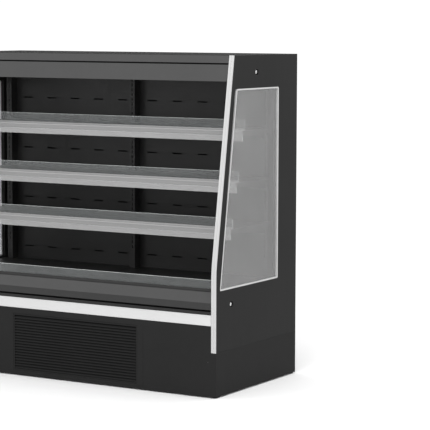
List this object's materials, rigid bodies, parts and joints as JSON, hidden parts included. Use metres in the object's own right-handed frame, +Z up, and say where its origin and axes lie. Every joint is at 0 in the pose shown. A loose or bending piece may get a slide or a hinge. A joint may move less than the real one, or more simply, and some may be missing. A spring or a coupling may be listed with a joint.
{
  "type": "open multideck display fridge",
  "caption": "Upright open-fronted chilled display cabinet with tilting shelves, glazed ends, air-curtain canopy and a louvred plinth over its condensing unit.",
  "frame": {"origin": "on the floor under the middle of the cabinet's plan", "axes": "+X to the right as the customer sees it, -Y out of the open front, +Z up"},
  "size_m": [2.12, 0.98, 2],
  "materials": {
    "levelling_foot": "matt moulded",
    "chassis": "matt powder coat",
    "plinth": "matt black powder coat",
    "plinth_grille": "matt black powder coat",
    "insulated_body": "black coated skins over foam",
    "canopy": "satin dark grey powder coat",
    "nose": "satin dark grey powder coat",
    "black_plastic": "matt black",
    "bumper": "fine brushed, pale",
    "honeycomb": "matt moulded",
    "light_bar": "diffusing",
    "interior": "satin black powder coat",
    "shelf": "satin black powder coat",
    "price_rail": "extruded, satin",
    "clear_guard": "clear, polished edges",
    "galvanised": "galvanised sheet",
    "coil_fins": "thin fins",
    "fan_blades": "matt moulded",
    "compressor": "gloss black enamel",
    "rocker": "gloss white",
    "end_panel": "fine satin grain over foam",
    "edge_trim": "satin",
    "window_seal": "light grey extrusion",
    "window_glass": "clear float glass",
    "end_bolt": "bright dome"
  },
  "bodies": {
    "cabinet": {"chassis_frame": "chassis", "plinth_front_panel": "plinth", "plinth_rear_panel": "plinth", "plinth_side_left": "plinth", "plinth_side_right": "plinth", "plinth_grille": "plinth_grille", "insulated_body": "insulated_body", "roof_cover": "canopy", "canopy_fascia": "canopy", "nose_profile": "nose", "bumper_carrier": "black_plastic", "controller": "black_plastic", "bumper_rail": "bumper", "air_outlet_honeycomb": "honeycomb", "light_bar": "light_bar", "duct_panel": "interior", "return_air_grille": "interior", "upright_left": "interior", "upright_centre": "interior", "upright_right": "interior", "deck_riser": "clear_guard", "evaporator_fan_plate": "galvanised", "condenser_fan_shroud": "galvanised", "evaporator_coil": "coil_fins", "condenser_coil": "coil_fins", "compressor": "compressor", "end_panel_left": "end_panel", "end_panel_right": "end_panel", "edge_trim_left": "edge_trim", "edge_trim_right": "edge_trim", "window_seal_left": "window_seal", "window_seal_right": "window_seal", "window_glass_left": "window_glass", "window_glass_right": "window_glass", "end_bolt_left_lower": "end_bolt", "end_bolt_left_upper": "end_bolt", "end_bolt_right_lower": "end_bolt", "end_bolt_right_upper": "end_bolt"},
    "shelf_1": {"shelf_1_support": "shelf", "shelf_1_plate": "shelf", "shelf_1_price_rail": "price_rail", "shelf_1_stop": "clear_guard"},
    "shelf_2": {"shelf_2_support": "shelf", "shelf_2_plate": "shelf", "shelf_2_price_rail": "price_rail", "shelf_2_stop": "clear_guard"},
    "shelf_3": {"shelf_3_support": "shelf", "shelf_3_plate": "shelf", "shelf_3_price_rail": "price_rail", "shelf_3_stop": "clear_guard"},
    "evaporator_fan_left": {"evaporator_fan_left": "fan_blades"},
    "evaporator_fan_right": {"evaporator_fan_right": "fan_blades"},
    "condenser_fan": {"condenser_fan": "fan_blades"},
    "power_switch": {"power_switch": "rocker"},
    "deck_pan_left": {"deck_pan_left": "interior"},
    "deck_pan_right": {"deck_pan_right": "interior"},
    "levelling_foot_front_left": {"levelling_foot_front_left": "levelling_foot"},
    "levelling_foot_front_right": {"levelling_foot_front_right": "levelling_foot"},
    "levelling_foot_rear_left": {"levelling_foot_rear_left": "levelling_foot"},
    "levelling_foot_rear_right": {"levelling_foot_rear_right": "levelling_foot"}
  },
  "joints": [
    {"name": "shelf_1_tilt", "type": "hinge", "parent": "cabinet", "child": "shelf_1", "pos_m": [0, 0.2447, 0.9035], "axis": [1, 0, 0], "range_deg": [0, 10]},
    {"name": "shelf_2_tilt", "type": "hinge", "parent": "cabinet", "child": "shelf_2", "pos_m": [0, 0.2447, 1.178], "axis": [1, 0, 0], "range_deg": [0, 10]},
    {"name": "shelf_3_tilt", "type": "hinge", "parent": "cabinet", "child": "shelf_3", "pos_m": [0, 0.2447, 1.483], "axis": [1, 0, 0], "range_deg": [0, 10]},
    {"name": "evaporator_fan_left_spin", "type": "hinge", "parent": "cabinet", "child": "evaporator_fan_left", "pos_m": [-0.45, -0.188, 0.52], "axis": [0, 1, 0], "continuous": true},
    {"name": "evaporator_fan_right_spin", "type": "hinge", "parent": "cabinet", "child": "evaporator_fan_right", "pos_m": [0.45, -0.188, 0.52], "axis": [0, 1, 0], "continuous": true},
    {"name": "condenser_fan_spin", "type": "hinge", "parent": "cabinet", "child": "condenser_fan", "pos_m": [0.056, -0.3187, 0.2083], "axis": [0, 1, 0], "continuous": true},
    {"name": "levelling_foot_front_left_screw", "type": "slide", "parent": "cabinet", "child": "levelling_foot_front_left", "axis": [0, 0, -1], "range_m": [0, 0.02]},
    {"name": "levelling_foot_front_right_screw", "type": "slide", "parent": "cabinet", "child": "levelling_foot_front_right", "axis": [0, 0, -1], "range_m": [0, 0.02]},
    {"name": "levelling_foot_rear_left_screw", "type": "slide", "parent": "cabinet", "child": "levelling_foot_rear_left", "axis": [0, 0, -1], "range_m": [0, 0.02]},
    {"name": "levelling_foot_rear_right_screw", "type": "slide", "parent": "cabinet", "child": "levelling_foot_rear_right", "axis": [0, 0, -1], "range_m": [0, 0.02]},
    {"name": "power_switch_rock", "type": "hinge", "parent": "cabinet", "child": "power_switch", "pos_m": [-0.869, -0.4593, 0.367], "axis": [-1, 0, 0], "range_deg": [0, 14]},
    {"name": "deck_pan_left_lift", "type": "slide", "parent": "cabinet", "child": "deck_pan_left", "axis": [0, 0, 1], "range_m": [0, 0.05]},
    {"name": "deck_pan_right_lift", "type": "slide", "parent": "cabinet", "child": "deck_pan_right", "axis": [0, 0, 1], "range_m": [0, 0.05]}
  ]
}
